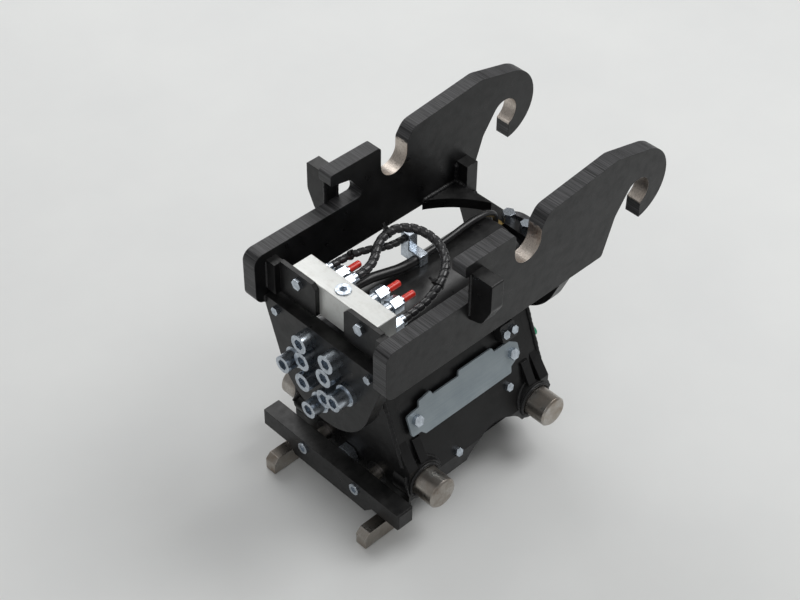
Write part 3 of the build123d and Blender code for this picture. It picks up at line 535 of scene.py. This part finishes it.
def cable_tie(name, line, share, radius, roll):
    """A tie around a hose at a share of its line; roll turns its head about the hose, in degrees."""
    at = line[int(share * (len(line) - 1))]
    ahead = line[int(share * (len(line) - 1)) + 1]
    along = (ahead - at).normalized()
    up = (Vector((0, 0, 1)) - along.z * along).normalized()
    side = along.cross(up)
    turn = Matrix.Rotation(math.radians(roll), 3, along)
    out_dir = turn @ up
    side_dir = turn @ side
    build = bmesh.new()
    band_w = 3.4 * MM
    band_t = 1.1 * MM
    steps = 36
    rings = []
    for step in range(steps):
        angle = 2 * math.pi * step / steps
        ray = math.cos(angle) * out_dir + math.sin(angle) * side_dir
        ring = []
        for reach, shift in ((0, -0.5), (0, 0.5), (band_t, 0.42), (band_t, -0.42)):
            ring.append(build.verts.new(at + ray * (radius + reach) + along * (shift * band_w)))
        rings.append(ring)
    for step in range(steps):
        one, two = rings[step], rings[(step + 1) % steps]
        for corner in range(4):
            other = (corner + 1) % 4
            build.faces.new((one[corner], one[other], two[other], two[corner]))
    frame_axes = Matrix((along, side_dir, out_dir)).transposed().to_4x4()
    for size, place in (
        ((5.2, 5.0, 3.8), (0, 0, radius + 1.9 * MM)),
        ((2.6, 1.0, 9.0), (0, 1.8 * MM, radius + 5.5 * MM)),
    ):
        cube = bmesh.ops.create_cube(build, size=1)["verts"]
        stretch = Matrix.Diagonal((*[value * MM for value in size], 1))
        spot = at + along * place[0] + side_dir * place[1] + out_dir * place[2]
        bmesh.ops.transform(build, matrix=Matrix.Translation(spot) @ frame_axes @ stretch, verts=cube)
    bmesh.ops.recalc_face_normals(build, faces=build.faces[:])
    mesh = bpy.data.meshes.new(name)
    build.to_mesh(mesh)
    build.free()
    piece = add_piece(name, mesh, tie_plastic, "tilt_head")
    for face in mesh.polygons:
        face.use_smooth = False
    return piece


cable_tie("tie_loop_crown", loop_line, 0.33, 5.2 * MM, -20)
cable_tie("tie_loop_right", loop_line, 0.86, 5.2 * MM, 40)
cable_tie("tie_branch", branch_line, 0.24, 4.2 * MM, 15)


# Weld beads, each a row of small ripples along a joint


def welds(name, body, paths, radius=2.4 * MM, seed=1):
    """One mesh of rippled beads along the given lines; a line whose ends meet is a ring."""
    dice = random.Random(seed)
    build = bmesh.new()
    for points in paths:
        path = resample(points, 0.5 * MM)
        ring = (Vector(points[0]) - Vector(points[-1])).length < 0.1 * MM
        if ring:
            path = path[:-1] if (path[0] - path[-1]).length < 0.3 * MM else path
        total = line_length(path)
        phase = dice.random() * 10
        drift = dice.uniform(0.9, 1.1)

        def radius_at(distance, angle):
            ripple = (distance / (2.1 * MM) + phase + 0.25 * math.sin(angle)) % 1.0
            wander = 0.07 * math.sin(distance * 310 + phase) + 0.05 * math.sin(distance * 920)
            size = radius * drift * (0.9 + 0.16 * ripple + wander)
            if ring:
                return size
            end = min(distance, total - distance) / (2.2 * MM)
            return size * min(1.0, 0.35 + 0.65 * max(end, 0.0))

        sweep_tube(build, path, radius_at, 10, closed=ring)
    mesh = bpy.data.meshes.new(name)
    build.to_mesh(mesh)
    build.free()
    return add_piece(name, mesh, weld_paint, body)


def arc_points(centre, radius, start, end, place, steps=64):
    """Points on an arc about the tilt direction or across it; place turns (a, b) into a point."""
    out = []
    for step in range(steps + 1):
        angle = math.radians(start + (end - start) * step / steps)
        out.append(place(centre[0] + radius * math.cos(angle), centre[1] + radius * math.sin(angle)))
    return out


inner_y = low("side_plate_left").y
outer_y = high("side_plate_left").y
plate_bottom = low("side_plate_left").z
pin_z = front_pin.z
wall_front_x = low("lower_front_wall").x
wall_back_x = high("lower_front_wall").x
rear_front_x = low("lower_rear_wall").x
rear_back_x = high("lower_rear_wall").x
wall_top_z = high("lower_front_wall").z
wall_slope = 0.384
housing_r = (high("actuator_housing").z - low("actuator_housing").z) / 2


def wall_y(z):
    """Half width of the lower frame's slanted outside at a height."""
    return 0.1 - wall_slope * max(z - pin_z, 0)


head_paths = []
gusset_paths = []
frame_paths = []
for side in (-1, 1):
    y = side * inner_y
    for end in (low("rear_end_plate").x, high("rear_end_plate").x):
        head_paths.append([(end, y, plate_bottom + 2 * MM), (end, y, high("rear_end_plate").z - 2 * MM)])
    for end in (low("front_end_plate").x, high("front_end_plate").x):
        head_paths.append([(end, y, plate_bottom - 1 * MM), (end, y, high("front_end_plate").z)])
    gusset_top = high("rear_gussets").z
    gusset_x = high("rear_gussets").x
    gusset_y = side * (inner_y - 60 * MM)
    ear_y = side * (inner_y - 18 * MM)
    gusset_paths.append([(low("rear_gussets").x, y, gusset_top), (gusset_x, y, gusset_top)])
    gusset_paths.append([(gusset_x, ear_y, gusset_top), (gusset_x, y, gusset_top)])
    gusset_paths.append([(gusset_x, y, gusset_top), (gusset_x, y, high("rear_end_plate").z - 3 * MM)])
    top_z = high("rear_bolts").z - 12 * MM
    gusset_paths.append([(gusset_x, gusset_y, low("rear_gussets").z), (gusset_x, ear_y, low("rear_gussets").z)])
    gusset_paths.append([(gusset_x, ear_y, top_z), (high("rear_end_plate").x, ear_y, top_z)])
    for end in (low("slot_guards").x, high("slot_guards").x):
        guard_low = low("slot_guards").z + 6 * MM
        head_paths.append([(end, side * outer_y, guard_low), (end, side * outer_y, high("slot_guards").z - 1 * MM)])
    tab_x = low("bracket_left").x
    head_paths.append([(tab_x, y, low("bracket_left").z + 2 * MM), (tab_x, y, high("valve_block").z - 2 * MM)])
    for end in (wall_front_x, rear_back_x):
        top = Vector((end, side * wall_y(wall_top_z), wall_top_z))
        foot_z = pin_z + 28 * MM
        frame_paths.append([top, Vector((end, side * wall_y(foot_z), foot_z))])
    for pin in (front_pin, rear_pin):
        boss = arc_points((pin.x, pin_z), 22.4 * MM, 0, 360, lambda a, b: (a, side * 0.1003, b))
        frame_paths.append(boss)
        root = arc_points((pin.x, pin_z), 27.4 * MM, 4, 176, lambda a, b: (a, side * wall_y(b), b))
        frame_paths.append(root)
    for end in (wall_front_x, rear_back_x):
        saddle = arc_points((0, axis_z), housing_r + 0.4 * MM, -27, -90, lambda a, b: (end, side * a, b))
        frame_paths.append(saddle)
    saddle_y = side * (wall_y(wall_top_z) - 0.5 * MM)
    frame_paths.append([(wall_front_x, saddle_y, wall_top_z), (rear_back_x, saddle_y, wall_top_z)])
    lug = [low("support_lugs"), high("support_lugs")]
    for lug_y in (73 * MM, 89 * MM):
        frame_paths.append([(wall_front_x, side * lug_y, 3 * MM), (wall_front_x, side * lug_y, lug[1].z)])
    frame_paths.append([(wall_front_x, side * 73 * MM, lug[1].z), (wall_front_x, side * 89 * MM, lug[1].z)])
welds("head_welds", "tilt_head", head_paths, seed=3)
welds("gusset_welds", "tilt_head", gusset_paths, 4.2 * MM, seed=5)
welds("frame_welds", "lower_frame", frame_paths, 2.6 * MM, seed=8)


# Floor, world and lights


def floor():
    """A plain pale floor, seen as a clean pale grey."""
    build = bmesh.new()
    bmesh.ops.create_grid(build, x_segments=2, y_segments=2, size=8)
    mesh = bpy.data.meshes.new("floor")
    build.to_mesh(mesh)
    build.free()
    s = Shader("pale floor")
    tone = s.spread(s.noise(3.5, 4, 0.6), 0.3, 0.7)
    color = s.mix(tone, (0.78, 0.79, 0.78, 1), (0.74, 0.75, 0.745, 1))
    mesh.materials.append(s.finish(color, 0.0, 0.7))
    plane = bpy.data.objects.new("floor", mesh)
    bpy.context.collection.objects.link(plane)


def soft_light(name, at, size, watts, aim=Vector((0, 0, 0.2))):
    """A square area lamp that faces the object."""
    data = bpy.data.lights.new(name, "AREA")
    data.size = size
    data.energy = watts
    lamp = bpy.data.objects.new(name, data)
    bpy.context.collection.objects.link(lamp)
    lamp.location = at
    lamp.rotation_euler = (aim - Vector(at)).to_track_quat("-Z", "Y").to_euler()


floor()
world = bpy.data.worlds.new("studio")
world.use_nodes = True
background = world.node_tree.nodes["Background"]
background.inputs["Color"].default_value = (1, 1, 1, 1)
background.inputs["Strength"].default_value = 0.3
bpy.context.scene.world = world
soft_light("key", (1.5, -0.6, 2.3), 1.4, 36)
soft_light("back", (0.6, 1.8, 1.7), 1.6, 20)
soft_light("fill", (-1.6, -0.5, 1.5), 1.4, 6)
bpy.context.scene.view_settings.view_transform = "Standard"

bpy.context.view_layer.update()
import json
